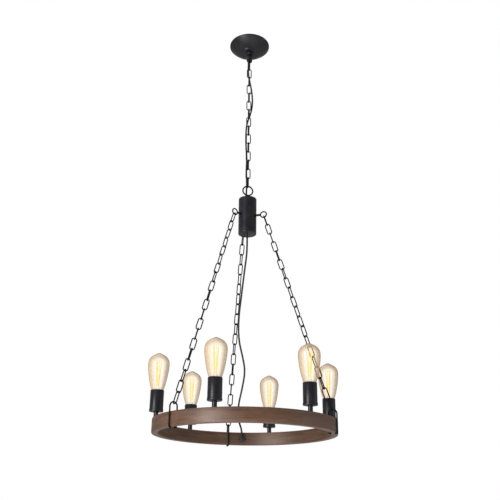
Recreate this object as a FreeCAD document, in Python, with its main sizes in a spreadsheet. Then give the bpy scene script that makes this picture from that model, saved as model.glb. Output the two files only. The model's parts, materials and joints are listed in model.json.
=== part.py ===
"""Wagon wheel chandelier: a wooden ring with six candle-style lamps, hung by chains from a hub.

Everything hangs below the ceiling plane, which is z = 0. Units are millimetres and degrees.
"""
import FreeCAD, Part
import Sketcher
import math
import os
import re

V = FreeCAD.Vector
UP = V(0, 0, 1)

# Driving dimensions: alias, value, what it is
SIZES = [
    ("ring_diameter", 550, "outside of the ring"),
    ("ring_thickness", 20, "ring, radially"),
    ("ring_height", 40, "ring, upright"),
    ("lamp_count", 6, "lamps on the ring"),
    ("chain_count", 3, "chains from the hub to the ring"),
    ("link_wire", 3.6, "wire of a chain link"),
    ("link_width", 18, "outside width of a link"),
    ("main_link_inner", 34.7, "inside length of a link of the hanging chain"),
    ("side_link_inner", 34, "inside length of a link of the three side chains"),
    ("link_gap", 0.3, "play where one link sits in the next"),
    ("main_links", 15, "links in the hanging chain"),
    ("side_links", 20, "links in each side chain"),
    ("canopy_diameter", 145, "ceiling canopy"),
    ("canopy_depth", 30, "ceiling canopy, rim to face"),
    ("canopy_wall", 1.5, "sheet of the canopy"),
    ("canopy_edge", 6, "rounding between the canopy's side and face"),
    ("step_diameter", 63, "raised step on the canopy's face"),
    ("step_height", 3.5, "raised step on the canopy's face"),
    ("bracket_end", 0.55, "crossbar beyond the end of a slot"),
    ("bracket_width", 22, "crossbar"),
    ("bracket_thick", 1.6, "crossbar"),
    ("slot_spacing", 88.9, "crossbar screw slots, centre to centre"),
    ("slot_length", 16, "crossbar screw slots, end to end"),
    ("slot_width", 4.6, "crossbar screw slots"),
    ("nipple_diameter", 10, "threaded tube through the canopy"),
    ("nipple_bore", 6.6, "threaded tube's wire way"),
    ("nipple_end", 46, "how far the threaded tube reaches below the ceiling"),
    ("thread_gap", 0.15, "radial play round the threaded tube"),
    ("lock_nut_across", 17, "hexagon nut under the crossbar, across corners"),
    ("lock_nut_height", 4, "hexagon nut under the crossbar"),
    ("cover_nut_diameter", 30, "round nut under the canopy"),
    ("cover_nut_height", 8, "round nut under the canopy"),
    ("collar_diameter", 21, "collar under the round nut"),
    ("collar_height", 18, "collar under the round nut"),
    ("collar_wall", 1.1, "collar"),
    ("loop_base_height", 6, "disc that closes the collar and carries the loop"),
    ("loop_wire", 4.5, "loop under the collar"),
    ("loop_radius", 8.25, "loop under the collar, to the middle of its wire"),
    ("hub_diameter", 60, "hub"),
    ("hub_length", 128, "hub, over its caps"),
    ("hub_wall", 2, "hub tube"),
    ("hub_cap_thick", 3, "hub caps"),
    ("hub_cap_edge", 1.2, "chamfer round a hub cap"),
    ("spigot_depth", 5, "lip of a hub cap inside the tube"),
    ("spigot_gap", 0.3, "radial play of that lip"),
    ("hub_loop_diameter", 39, "ring on top of the hub"),
    ("hub_loop_wire", 5, "ring on top of the hub"),
    ("hub_stem_height", 13, "stem under that ring"),
    ("hub_stem_diameter", 11, "stem under that ring"),
    ("tail_diameter", 8, "threaded tail of the stem, inside the hub"),
    ("tail_length", 14, "threaded tail of the stem, inside the hub"),
    ("tail_nut_across", 15, "nut on the tail, across corners"),
    ("tail_nut_height", 5, "nut on the tail"),
    ("eye_diameter", 25, "eye of an eye bolt"),
    ("eye_wire", 4.5, "wire of an eye bolt"),
    ("eye_circle", 55.5, "eye centres, from the hub's axis"),
    ("eye_drop", 63, "eye centres, below the hub's top"),
    ("shank_diameter", 4.4, "shank of an eye bolt"),
    ("shank_reach", 22.5, "inner end of the shank, from the hub's axis"),
    ("eye_nut_across", 9, "nut of an eye bolt, across corners"),
    ("eye_nut_height", 3.2, "nut of an eye bolt"),
    ("hole_gap", 0.3, "radial play of a shank in its hole"),
    ("stirrup_wire", 4.5, "stirrup over the ring"),
    ("stirrup_rise", 28, "top of a stirrup above the ring"),
    ("stirrup_gap", 0.2, "play between a stirrup and the ring"),
    ("stirrup_toe", 7, "toe of a stirrup under the ring"),
    ("pivot_gap", 0.7, "play of the last link in the stirrup"),
    ("lamp_stem_diameter", 14, "stem under a lamp cup"),
    ("lamp_stem_height", 17, "stem under a lamp cup"),
    ("cup_diameter", 40, "lamp cup"),
    ("cup_height", 62, "lamp cup"),
    ("cup_wall", 1.2, "lamp cup"),
    ("cup_lip", 0.8, "band round the foot of a lamp cup, radially"),
    ("cup_lip_height", 7, "band round the foot of a lamp cup"),
    ("holder_diameter", 35, "lampholder inside the cup"),
    ("holder_height", 57, "lampholder inside the cup"),
    ("screw_play", 0.7, "radial play of the bulb's cap in the lampholder"),
    ("contact_gap", 0.4, "bulb's contact above the lampholder's floor"),
    ("bulb_diameter", 64, "bulb"),
    ("bulb_length", 140, "bulb over its cap"),
    ("bulb_cap_diameter", 26.4, "screw cap of a bulb"),
    ("bulb_cap_height", 25, "screw cap of a bulb, with its contact"),
    ("bulb_contact_height", 4, "contact below the screw shell"),
    ("glass_wall", 0.9, "glass of a bulb"),
    ("bulb_tip", 190.5, "tip of a bulb above the ring"),
    ("gland_diameter", 18, "cord gland inside the ring"),
    ("gland_length", 13, "cord gland, radially"),
    ("gland_angle", 80, "cord gland's direction from the X axis"),
    ("gland_hole_inset", 6.5, "cord hole in the gland, in from the ring's face"),
    ("cord_diameter", 6, "cord"),
    ("cord_gap", 0.4, "radial play of the cord in its holes"),
]

# Worked out from the driving dimensions in the sheet itself
DERIVED = [
    ("bracket_length", "slot_spacing + slot_length + 2 * bracket_end"),
    ("ring_radius", "ring_diameter / 2"),
    ("ring_inner", "ring_radius - ring_thickness"),
    ("lamp_circle", "ring_radius - ring_thickness / 2"),
    ("canopy_radius", "canopy_diameter / 2"),
    ("step_radius", "step_diameter / 2"),
    ("canopy_bottom", "canopy_depth + step_height"),
    ("thread_hole", "nipple_diameter / 2 + thread_gap + 0.2"),
    ("cover_nut_bottom", "canopy_bottom + cover_nut_height"),
    ("collar_bottom", "cover_nut_bottom + collar_height"),
    ("loop_base_bottom", "collar_bottom + loop_base_height"),
    ("loop_bottom", "loop_base_bottom + loop_radius - 0.1 * loop_wire"),
    ("chain_start", "loop_bottom - loop_wire / 2"),
    ("main_pitch", "main_link_inner - link_gap"),
    ("side_pitch", "side_link_inner - link_gap"),
    ("chain_end", "chain_start + main_links * main_pitch"),
    ("hub_loop_radius", "(hub_loop_diameter - hub_loop_wire) / 2"),
    ("hub_loop_centre", "chain_end - link_gap + hub_loop_diameter / 2 - hub_loop_wire"),
    ("hub_top", "hub_loop_centre + hub_loop_diameter / 2 + hub_stem_height"),
    ("hub_bottom", "hub_top + hub_length"),
    ("hub_radius", "hub_diameter / 2"),
    ("spigot_radius", "hub_radius - hub_wall - spigot_gap"),
    ("eye_level", "hub_top + eye_drop"),
    ("eye_radius", "(eye_diameter - eye_wire) / 2"),
    ("stirrup_radius", "(ring_thickness + stirrup_wire) / 2 + stirrup_gap"),
    ("arch_height", "stirrup_rise - stirrup_wire / 2 - stirrup_radius"),
    ("top_offset", "eye_radius - eye_wire / 2 - link_wire / 2 - link_gap"),
    ("foot_offset", "stirrup_radius - stirrup_wire / 2 - link_wire / 2 - pivot_gap"),
    ("side_chain_length", "(side_links - 1) * side_pitch + side_link_inner + link_wire"),
    ("span", "top_offset + side_chain_length + foot_offset"),
    ("span_drop", "sqrt(span ^ 2 - (lamp_circle - eye_circle) ^ 2)"),
    ("ring_top", "eye_level + span_drop + arch_height"),
    ("ring_bottom", "ring_top + ring_height"),
    ("cord_hole", "cord_diameter / 2 + cord_gap"),
    ("bulb_foot", "bulb_tip - bulb_length"),
]

LINK_SIDES = 5          # facets round a link's wire
ROD_SIDES = 6           # facets round the heavier wires and the cords
BORE_SIDES = 12         # facets round small turned pieces and holes
LAMP_SIDES = 16         # facets round a lamp cup
BULB_SIDES = 12         # facets round a bulb's glass
NUT_SIDES = 20          # facets round the nut and collar of the canopy
HUB_SIDES = 36          # facets round the hub
CANOPY_SIDES = 40       # facets round the canopy

# Bulb outline: share of the glass height above the cap, share of the bulb's radius
BULB_OUTLINE = [(0.0, 0.42), (0.04, 0.55), (0.17, 0.71), (0.36, 0.86), (0.55, 0.965), (0.71, 1.0),
                (0.83, 0.90), (0.92, 0.60), (1.0, 0.08)]
BULB_INSIDE = [(0.02, 0.42), (0.05, 0.55), (0.36, 0.86), (0.71, 1.0), (0.93, 0.50)]

# Cord routes: points chosen by hand, straight runs joined by arcs
CORD_UPPER = [
    (-4.2, -4.2, -53), (-4.5, -4.6, -88), (-6.0, -9.0, -128), (-0.5, -14.5, -170), (8.5, -12.0, -212),
    (13.6, -1.0, -254), (8.5, 12.0, -290), (-3.5, 14.5, -326), (-7.5, 9.5, -372), (-6.0, 11.5, -425),
    (-1.5, 14.2, -470), (-4.0, 12.0, -520), (-0.5, 14.5, -570), (-2.0, 16.0, -610), (-2.0, 16.0, -652),
]
CORD_LOWER = [
    (0, 0, -745), (0, 0.5, -780), (3.5, 17, -822), (1.5, 44, -877), (-0.5, 73, -945), (-3, 108, -1025),
    (4, 132, -1088), (22, 150, -1138), (35, 166, -1183), (30, 191, -1238), (22, 215, -1292),
    (30, 236, -1338), (43.1, 244.7, -1362), (43.1, 244.7, -1385.5),
]

doc = FreeCAD.newDocument("wagon_wheel_chandelier")
sheet = doc.addObject("Spreadsheet::Sheet", "Sizes")
row = 0
for alias, value, note in SIZES:
    row += 1
    sheet.set(f"A{row}", note)
    sheet.set(f"B{row}", str(value))
    sheet.setAlias(f"B{row}", alias)
for alias, formula in DERIVED:
    row += 1
    sheet.set(f"A{row}", alias.replace("_", " "))
    sheet.set(f"B{row}", "=" + formula)
    sheet.setAlias(f"B{row}", alias)
doc.recompute()

ALIASES = {entry[0] for entry in SIZES + DERIVED}
size = {alias: float(sheet.get(alias)) for alias in ALIASES}
nodes = {}


def bound(text):
    """An expression in which every alias is looked up in the sheet."""
    return re.sub(r"[a-z][a-z_]*", lambda m: "Sizes." + m.group() if m.group() in ALIASES else m.group(), text)


def named(label, obj):
    """Keep an object as one sub-part of the chandelier."""
    obj.Label = label
    nodes[label] = obj
    return obj


def direction(angle):
    """Unit vector in the horizontal plane."""
    return V(math.cos(math.radians(angle)), math.sin(math.radians(angle)), 0)


def turned_body(name, corners):
    """A PartDesign body turned about the Z axis from a profile of (radius, level) expressions."""
    body = doc.addObject("PartDesign::Body", name)
    plane = next(f for f in body.Origin.OriginFeatures if f.Role == "XZ_Plane")
    sketch = body.newObject("Sketcher::SketchObject", name + "_profile")
    sketch.AttachmentSupport = [(plane, "")]
    sketch.MapMode = "FlatFace"
    count = len(corners)
    start = [V(50 + 20 * math.cos(2 * math.pi * i / count), 20 * math.sin(2 * math.pi * i / count), 0)
             for i in range(count)]
    for i in range(count):
        sketch.addGeometry(Part.LineSegment(start[i], start[(i + 1) % count]), False)
    for i in range(count):
        sketch.addConstraint(Sketcher.Constraint("Coincident", i, 2, (i + 1) % count, 1))
    for i, (radius, level) in enumerate(corners):
        at = sketch.addConstraint(Sketcher.Constraint("DistanceX", -1, 1, i, 1, start[i].x))
        sketch.setExpression(f"Constraints[{at}]", bound(radius))
        if level == "0":
            sketch.addConstraint(Sketcher.Constraint("PointOnObject", i, 1, -1))
        else:
            at = sketch.addConstraint(Sketcher.Constraint("DistanceY", -1, 1, i, 1, start[i].y))
            sketch.setExpression(f"Constraints[{at}]", bound(level))
    turn = body.newObject("PartDesign::Revolution", name + "_turn")
    turn.Profile = sketch
    turn.ReferenceAxis = (sketch, ["V_Axis"])
    turn.Angle = 360
    doc.recompute()
    return body


def cylinder(name, radius, height, level, x="0", y="0"):
    """A bound Part::Cylinder that stands on its level."""
    rod = doc.addObject("Part::Cylinder", name)
    rod.setExpression("Radius", bound(radius))
    rod.setExpression("Height", bound(height))
    rod.setExpression("Placement.Base.x", bound(x))
    rod.setExpression("Placement.Base.y", bound(y))
    rod.setExpression("Placement.Base.z", bound(level))
    return rod


def prism(name, sides, radius, height, level):
    """A bound regular prism that stands on its level."""
    bar = doc.addObject("Part::Prism", name)
    bar.Polygon = sides
    bar.setExpression("Circumradius", bound(radius))
    bar.setExpression("Height", bound(height))
    bar.setExpression("Placement.Base.z", bound(level))
    return bar


def cut(name, base, *tools):
    """Base without the tools."""
    for i, tool in enumerate(tools):
        step = doc.addObject("Part::Cut", f"{name}_{i + 1}")
        step.Base = base
        step.Tool = tool
        base = step
    return base


def fixed_shape(name, shape):
    """A Part::Feature for a form that no bound feature makes."""
    feature = doc.addObject("Part::Feature", name)
    feature.Shape = shape
    return feature


def solid_of(rings, closed):
    """A solid from rings of points, each ring joined to the next by flat faces."""
    faces = []
    count = len(rings)
    sides = len(rings[0])
    for i in range(count if closed else count - 1):
        near, far = rings[i], rings[(i + 1) % count]
        for k in range(sides):
            j = (k + 1) % sides
            faces.append(Part.Face(Part.makePolygon([near[k], near[j], far[j], far[k], near[k]])))
    if not closed:
        for ring in (rings[0], rings[-1]):
            faces.append(Part.Face(Part.makePolygon(ring + ring[:1])))
    solid = Part.Solid(Part.Shell(faces))
    if solid.Volume < 0:
        solid.reverse()
    return solid


def onto_plane(points, along, centre, normal):
    """Slide points along a direction until they lie in a plane."""
    reach = along.dot(normal)
    return [p + along * ((centre - p).dot(normal) / reach) for p in points]


def wire_form(points, diameter, sides, across, closed=False):
    """A wire of a faceted round section bent along points, mitred at each."""
    count = len(points)
    runs = [(points[(i + 1) % count] - points[i]).normalize() for i in range(count if closed else count - 1)]
    side = runs[0].cross(across).normalize()
    over = side.cross(runs[0]).normalize()
    radius = diameter / 2
    turn = [2 * math.pi * (k + 0.5) / sides for k in range(sides)]
    ring = [points[0] + side * (radius * math.cos(a)) + over * (radius * math.sin(a)) for a in turn]
    rings = []
    if closed:
        ring = onto_plane(ring, runs[0], points[0], runs[-1] + runs[0])
    rings.append(ring)
    for i in range(1, count):
        ahead = runs[i] if i < len(runs) else runs[-1]
        ring = onto_plane(ring, runs[i - 1], points[i], runs[i - 1] + ahead)
        rings.append(ring)
    return solid_of(rings, closed)


def faceted_turning(profile, sides):
    """A closed solid turned in facets from (radius, level) pairs, bottom to top."""
    turn = [2 * math.pi * (k + 0.5) / sides for k in range(sides)]
    rings = [[V(r * math.cos(a), r * math.sin(a), z) for a in turn] for r, z in profile]
    return solid_of(rings, False)


def arc_points(centre, radius, first, last, steps, across, lift):
    """Points on an arc in the plane of two unit vectors, angles in degrees from the first vector."""
    out = []
    for i in range(steps + 1):
        a = math.radians(first + (last - first) * i / steps)
        out.append(centre + across * (radius * math.cos(a)) + lift * (radius * math.sin(a)))
    return out


def link_solid(inner_length):
    """One chain link, upright in the XZ plane with its middle at the origin."""
    half_width = (size["link_width"] - size["link_wire"]) / 2
    half_length = (inner_length + size["link_wire"]) / 2
    flat = half_width * math.tan(math.radians(22.5))
    corners = [(half_width, half_length - half_width + flat), (half_width, -half_length + half_width - flat),
               (flat, -half_length), (-flat, -half_length),
               (-half_width, -half_length + half_width - flat), (-half_width, half_length - half_width + flat),
               (-flat, half_length), (flat, half_length)]
    return wire_form([V(x, 0, z) for x, z in corners], size["link_wire"], LINK_SIDES, V(0, 1, 0), closed=True)


def placed(shape, base, rotation):
    """A copy of a shape, turned and then moved."""
    copy = shape.copy()
    copy.Placement = FreeCAD.Placement(base, rotation)
    return copy


def cord_tube(name, route):
    """A cord: straight runs of its route joined by tangent arcs, which follow in short flats."""
    points = [V(*p) for p in route]
    path = [points[0]]
    radii = []
    for before, corner, after in zip(points, points[1:], points[2:]):
        into = (corner - before).normalize()
        out = (after - corner).normalize()
        turn = into.getAngle(out)
        reach = 0.45 * min((corner - before).Length, (after - corner).Length)
        radius = reach / math.tan(turn / 2)
        radii.append(radius)
        inward = (out - into).normalize()
        centre = corner + inward * (radius / math.cos(turn / 2))
        steps = max(1, round(math.degrees(turn) / 12))
        first = corner - into * reach - centre
        axis = into.cross(out).normalize()
        for k in range(steps + 1):
            bend = FreeCAD.Rotation(axis, math.degrees(turn) * k / steps)
            path.append(centre + bend.multVec(first))
    path.append(points[-1])
    length = sum((b - a).Length for a, b in zip(path, path[1:]))
    tube = wire_form(path, size["cord_diameter"], ROD_SIDES, V(1, 0.3, 0))
    section = ROD_SIDES / 2 * (size["cord_diameter"] / 2) ** 2 * math.sin(2 * math.pi / ROD_SIDES)
    print(f"{name}: length {length:.0f} mm, least bend radius {min(radii):.0f} mm, volume over section times "
          f"length {tube.Volume / (section * length):.3f}")
    return tube


# Ceiling plate and canopy
plate = doc.addObject("Part::Box", "bracket_plate")
plate.setExpression("Length", bound("bracket_length"))
plate.setExpression("Width", bound("bracket_width"))
plate.setExpression("Height", bound("bracket_thick"))
plate.setExpression("Placement.Base.x", bound("-bracket_length / 2"))
plate.setExpression("Placement.Base.y", bound("-bracket_width / 2"))
plate.setExpression("Placement.Base.z", bound("-bracket_thick"))
cutters = [cylinder("bracket_hole", "thread_hole", "bracket_thick * 3", "-2 * bracket_thick")]
for side, sign in (("left", "-"), ("right", "")):
    slot = doc.addObject("Part::Box", f"slot_{side}")
    slot.setExpression("Length", bound("slot_length - slot_width"))
    slot.setExpression("Width", bound("slot_width"))
    slot.setExpression("Height", bound("bracket_thick * 3"))
    slot.setExpression("Placement.Base.x", bound(f"{sign}slot_spacing / 2 - (slot_length - slot_width) / 2"))
    slot.setExpression("Placement.Base.y", bound("-slot_width / 2"))
    slot.setExpression("Placement.Base.z", bound("-2 * bracket_thick"))
    cutters.append(slot)
    for end, shift in (("near", "-"), ("far", "+")):
        middle = f"{sign}slot_spacing / 2 {shift} (slot_length - slot_width) / 2"
        cutters.append(cylinder(f"slot_{side}_{end}", "slot_width / 2", "bracket_thick * 3",
                                "-2 * bracket_thick", middle))
named("ceiling_bracket", cut("bracket_cut", plate, *cutters))

named("canopy_nipple", cut(
    "nipple_cut", prism("nipple_rod", BORE_SIDES, "nipple_diameter / 2", "nipple_end", "-nipple_end"),
    prism("nipple_way", BORE_SIDES, "nipple_bore / 2", "nipple_end * 3", "-2 * nipple_end")))
named("lock_nut", cut(
    "lock_nut_cut", prism("lock_nut_hexagon", 6, "lock_nut_across / 2", "lock_nut_height",
                          "-bracket_thick - lock_nut_height"),
    prism("lock_nut_hole", BORE_SIDES, "thread_hole", "lock_nut_height * 3", "-bracket_thick - 2 * lock_nut_height")))



def ring_between(outer, inner, sides):
    """A turned outer form with a turned way cut through it, both as (radius, level) lists."""
    return faceted_turning(outer, sides).cut(faceted_turning(inner, sides))


rim = size["canopy_radius"]
wall = size["canopy_wall"]
edge = size["canopy_edge"]
face = -size["canopy_depth"]
step_face = -size["canopy_bottom"]
step_slope = 0.3 * size["step_height"]
thread_hole = size["thread_hole"]
named("canopy", fixed_shape("canopy_body", ring_between(
    [(size["step_radius"] - step_slope, step_face), (size["step_radius"], face), (rim - edge, face),
     (rim - 0.29 * edge, face + 0.29 * edge), (rim, face + edge), (rim, 0)],
    [(thread_hole, step_face - 1), (thread_hole, step_face + wall),
     (size["step_radius"] - wall - step_slope, step_face + wall), (size["step_radius"] - wall, face + wall),
     (rim - edge, face + wall), (rim - wall, face + edge), (rim - wall, 1)], CANOPY_SIDES)))

nut_low = -size["cover_nut_bottom"]
nut_radius = size["cover_nut_diameter"] / 2
named("cover_nut", fixed_shape("cover_nut_body", ring_between(
    [(nut_radius - 1.5, nut_low), (nut_radius, nut_low + 1.5), (nut_radius, step_face)],
    [(thread_hole, nut_low - 1), (thread_hole, step_face + 1)], NUT_SIDES)))
collar_radius = size["collar_diameter"] / 2
collar_low = -size["collar_bottom"]
named("canopy_collar", fixed_shape("collar_body", ring_between(
    [(collar_radius, collar_low), (collar_radius, nut_low)],
    [(collar_radius - size["collar_wall"], collar_low - 1), (collar_radius - size["collar_wall"], nut_low - 4),
     (thread_hole, nut_low - 4), (thread_hole, nut_low + 1)], NUT_SIDES)))

# Loop under the collar, with the hole that the cord comes out of
base_low = -size["loop_base_bottom"]
base_disc = faceted_turning([(collar_radius - 1, base_low), (collar_radius, base_low + 1),
                             (collar_radius, collar_low)], NUT_SIDES)
loop_middle = V(0, 0, -size["loop_bottom"] + size["loop_radius"])
loop_path = arc_points(loop_middle, size["loop_radius"], 0, -180, 6, V(1, 0, 0), UP)
loop_path = [loop_path[0] + UP * 2] + loop_path + [loop_path[-1] + UP * 2]
loop_rod = wire_form(loop_path, size["loop_wire"], ROD_SIDES, V(0, 1, 0))
cord_mouth = placed(faceted_turning([(size["cord_hole"], -10), (size["cord_hole"], 10)], BORE_SIDES),
                    V(CORD_UPPER[0][0], CORD_UPPER[0][1], base_low), FreeCAD.Rotation())
named("canopy_loop", fixed_shape("loop_body", base_disc.fuse(loop_rod).cut(cord_mouth).removeSplitter()))

# Hanging chain
main_link = link_solid(size["main_link_inner"])
first_middle = -size["chain_start"] + size["link_gap"] - size["main_link_inner"] / 2
main_links = []
for i in range(int(size["main_links"])):
    roll = FreeCAD.Rotation(UP, 90 * ((i + 1) % 2))
    main_links.append(placed(main_link, V(0, 0, first_middle - i * size["main_pitch"]), roll))
named("hanging_chain", fixed_shape("hanging_chain_links", Part.makeCompound(main_links)))

# Ring and stem on top of the hub
hub_loop_path = arc_points(V(0, 0, -size["hub_loop_centre"]), size["hub_loop_radius"], 105, 435, 11, V(1, 0, 0), UP)
hub_ring = wire_form(hub_loop_path, size["hub_loop_wire"], ROD_SIDES, V(0, 1, 0), closed=True)
hub_top = -size["hub_top"]
stem_radius = size["hub_stem_diameter"] / 2
tail_radius = size["tail_diameter"] / 2
stem_top = -size["hub_loop_centre"] - size["hub_loop_diameter"] / 2 + size["hub_loop_wire"] / 2
stem = faceted_turning([(tail_radius, hub_top - size["tail_length"]), (tail_radius, hub_top), (stem_radius, hub_top),
                        (stem_radius, hub_top + 3), (stem_radius * 0.55, hub_top + 7),
                        (stem_radius * 0.55, stem_top)], 12)
named("hub_loop", fixed_shape("hub_loop_body", hub_ring.fuse(stem).removeSplitter()))
cap_low = hub_top - size["hub_cap_thick"] - size["spigot_depth"]
named("hub_loop_nut", fixed_shape("hub_loop_nut_body", ring_between(
    [(size["tail_nut_across"] / 2, cap_low - size["tail_nut_height"]), (size["tail_nut_across"] / 2, cap_low)],
    [(tail_radius + 0.5, cap_low - 2 * size["tail_nut_height"]), (tail_radius + 0.5, cap_low + 1)], 6)))

# Hub tube and caps
hub_radius = size["hub_radius"]
hub_bottom = -size["hub_bottom"]
cap = size["hub_cap_thick"]
lip = size["spigot_radius"]
tube_inside = hub_radius - size["hub_wall"]
tail_hole = tail_radius + size["hole_gap"]
chain_angles = [90 + 360 / size["chain_count"] * i for i in range(int(size["chain_count"]))]
tube = ring_between([(hub_radius, hub_bottom + cap), (hub_radius, hub_top - cap)],
                    [(tube_inside, hub_bottom), (tube_inside, hub_top)], HUB_SIDES)
shank_drill = faceted_turning([(size["shank_diameter"] / 2 + size["hole_gap"], 10),
                               (size["shank_diameter"] / 2 + size["hole_gap"], hub_radius + 5)], BORE_SIDES)
for angle in chain_angles:
    tube = tube.cut(placed(shank_drill, V(0, 0, -size["eye_level"]), FreeCAD.Rotation(UP, direction(angle))))
named("hub_shell", fixed_shape("hub_shell_body", tube))

lip_low = hub_top - cap - size["spigot_depth"]
top_cap = ring_between(
    [(lip, lip_low), (lip, hub_top - cap), (hub_radius, hub_top - cap), (hub_radius, hub_top - size["hub_cap_edge"]),
     (hub_radius - size["hub_cap_edge"], hub_top)],
    [(tail_hole, lip_low - 1), (tail_hole, hub_top + 1)], HUB_SIDES)
cord_drill = placed(faceted_turning([(size["cord_hole"], -30), (size["cord_hole"], 30)], BORE_SIDES),
                    V(CORD_UPPER[-1][0], CORD_UPPER[-1][1], hub_top), FreeCAD.Rotation())
named("hub_top_cap", fixed_shape("hub_top_body", top_cap.cut(cord_drill)))
lip_high = hub_bottom + cap + size["spigot_depth"]
named("hub_bottom_cap", fixed_shape("hub_bottom_body", ring_between(
    [(hub_radius - size["hub_cap_edge"], hub_bottom), (hub_radius, hub_bottom + size["hub_cap_edge"]),
     (hub_radius, hub_bottom + cap), (lip, hub_bottom + cap), (lip, lip_high)],
    [(size["cord_hole"], hub_bottom - 1), (size["cord_hole"], lip_high + 1)], HUB_SIDES)))

# Eye bolts, their nuts, side chains and stirrups
side_link = link_solid(size["side_link_inner"])
lean = math.degrees(math.asin((size["lamp_circle"] - size["eye_circle"]) / size["span"]))
side_count = int(size["side_links"])
eye_nuts = []
for i, angle in enumerate(chain_angles):
    out = direction(angle)
    along = UP.cross(out)
    eye_middle = out * size["eye_circle"] - UP * size["eye_level"]
    eye_path = arc_points(eye_middle, size["eye_radius"], 157.5, 472.5, 7, out, UP)
    eye_ring = wire_form(eye_path, size["eye_wire"], ROD_SIDES, along, closed=True)
    shank_start = out * size["shank_reach"] - UP * size["eye_level"]
    shank_end = out * (size["eye_circle"] - size["eye_radius"]) - UP * size["eye_level"]
    shank = wire_form([shank_start, shank_end], size["shank_diameter"], ROD_SIDES, along)
    named(f"eye_bolt_{i + 1}", fixed_shape(f"eye_bolt_body_{i + 1}", eye_ring.fuse(shank).removeSplitter()))
    nut_height = size["eye_nut_height"]
    nut = ring_between([(size["eye_nut_across"] / 2, 0), (size["eye_nut_across"] / 2, nut_height)],
                       [(size["shank_diameter"] / 2 + 0.4, -1), (size["shank_diameter"] / 2 + 0.4, nut_height + 1)], 6)
    nut_seat = size["hub_radius"] - size["hub_wall"] - 0.6 - nut_height
    eye_nuts.append(placed(nut, out * nut_seat - UP * size["eye_level"], FreeCAD.Rotation(UP, out)))

    down = out * math.sin(math.radians(lean)) - UP * math.cos(math.radians(lean))
    start = eye_middle + down * size["top_offset"]
    tilt = FreeCAD.Rotation(UP, down * -1)
    face_on = FreeCAD.Rotation(UP, angle + 90)
    links = []
    for k in range(side_count):
        middle = start + down * ((size["side_link_inner"] + size["link_wire"]) / 2 + k * size["side_pitch"])
        roll = FreeCAD.Rotation(UP, k * (90 + 90 / (side_count - 1)))
        links.append(placed(side_link, middle, tilt * face_on * roll))
    named(f"side_chain_{i + 1}", fixed_shape(f"side_chain_links_{i + 1}", Part.makeCompound(links)))

    arch_middle = out * size["lamp_circle"] + UP * (size["arch_height"] - size["ring_top"])
    arch = arc_points(arch_middle, size["stirrup_radius"], 0, 180, 6, out, UP)
    toe_level = -size["ring_bottom"] - size["stirrup_wire"] / 2 - size["stirrup_gap"]
    outer_foot = V(arch[0].x, arch[0].y, toe_level)
    inner_foot = V(arch[-1].x, arch[-1].y, toe_level)
    toe = out * size["stirrup_toe"]
    stirrup_path = [outer_foot - toe, outer_foot] + arch + [inner_foot, inner_foot + toe]
    named(f"stirrup_{i + 1}", fixed_shape(f"stirrup_body_{i + 1}",
                                         wire_form(stirrup_path, size["stirrup_wire"], ROD_SIDES, along)))
named("eye_bolt_nuts", fixed_shape("eye_bolt_nut_bodies", Part.makeCompound(eye_nuts)))

# Ring
named("ring", turned_body("ring_body", [
    ("ring_radius", "-ring_bottom"),
    ("ring_radius", "-ring_top"),
    ("ring_inner", "-ring_top"),
    ("ring_inner", "-ring_bottom"),
]))

# Cord gland on the ring's inner face
gland_out = direction(size["gland_angle"])
gland_level = -(size["ring_top"] + size["ring_height"] / 2)
gland_seat = gland_out * (size["ring_inner"] - 0.3) + UP * gland_level
gland_radius = size["gland_diameter"] / 2
gland = placed(faceted_turning([(gland_radius, 0), (gland_radius, size["gland_length"] - 3),
                                (gland_radius - 3, size["gland_length"])], BORE_SIDES),
               gland_seat, FreeCAD.Rotation(UP, gland_out * -1))
gland_way = gland_out * (size["ring_inner"] - size["gland_hole_inset"])
gland_drill = placed(faceted_turning([(size["cord_hole"], 0), (size["cord_hole"], gland_radius + 5)], BORE_SIDES),
                     gland_way + UP * (gland_level - 1), FreeCAD.Rotation())
named("cord_gland", fixed_shape("cord_gland_body", gland.cut(gland_drill)))

# Lamps: stem, cup, lampholder, and the bulb with its screw cap
cup_radius = size["cup_diameter"] / 2
stem_solid = faceted_turning([(size["lamp_stem_diameter"] / 2, 0),
                              (size["lamp_stem_diameter"] / 2, size["lamp_stem_height"])], 12)
floor = size["lamp_stem_height"]
cup_solid = ring_between(
    [(cup_radius + size["cup_lip"], floor), (cup_radius + size["cup_lip"], floor + size["cup_lip_height"]),
     (cup_radius, floor + size["cup_lip_height"]), (cup_radius, floor + size["cup_height"])],
    [(cup_radius - size["cup_wall"], floor + size["cup_wall"]),
     (cup_radius - size["cup_wall"], floor + size["cup_height"] + 1)], LAMP_SIDES)
bore_radius = size["bulb_cap_diameter"] / 2 + size["screw_play"]
holder_low = floor + size["cup_wall"]
bulb_foot = size["bulb_foot"]
holder_solid = ring_between(
    [(size["holder_diameter"] / 2 - 2, holder_low), (size["holder_diameter"] / 2, holder_low + 6),
     (size["holder_diameter"] / 2, holder_low + size["holder_height"])],
    [(bore_radius, bulb_foot - size["contact_gap"]), (bore_radius, holder_low + size["holder_height"] + 1)], BORE_SIDES)
cap_radius = size["bulb_cap_diameter"] / 2
shell_low = bulb_foot + size["bulb_contact_height"]
glass_low = bulb_foot + size["bulb_cap_height"]
cap_solid = faceted_turning([(4.5, bulb_foot), (5, bulb_foot + 1), (cap_radius * 0.8, shell_low),
                             (cap_radius, shell_low + 2), (cap_radius, glass_low)], BORE_SIDES)
glass_height = size["bulb_tip"] - glass_low
bulb_radius = size["bulb_diameter"] / 2
outline = [(bulb_radius * r, glass_low + glass_height * t) for t, r in BULB_OUTLINE]
inside = [(bulb_radius * r - size["glass_wall"], glass_low + glass_height * t) for t, r in BULB_INSIDE]
glass_solid = ring_between(outline, inside, BULB_SIDES)
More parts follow.
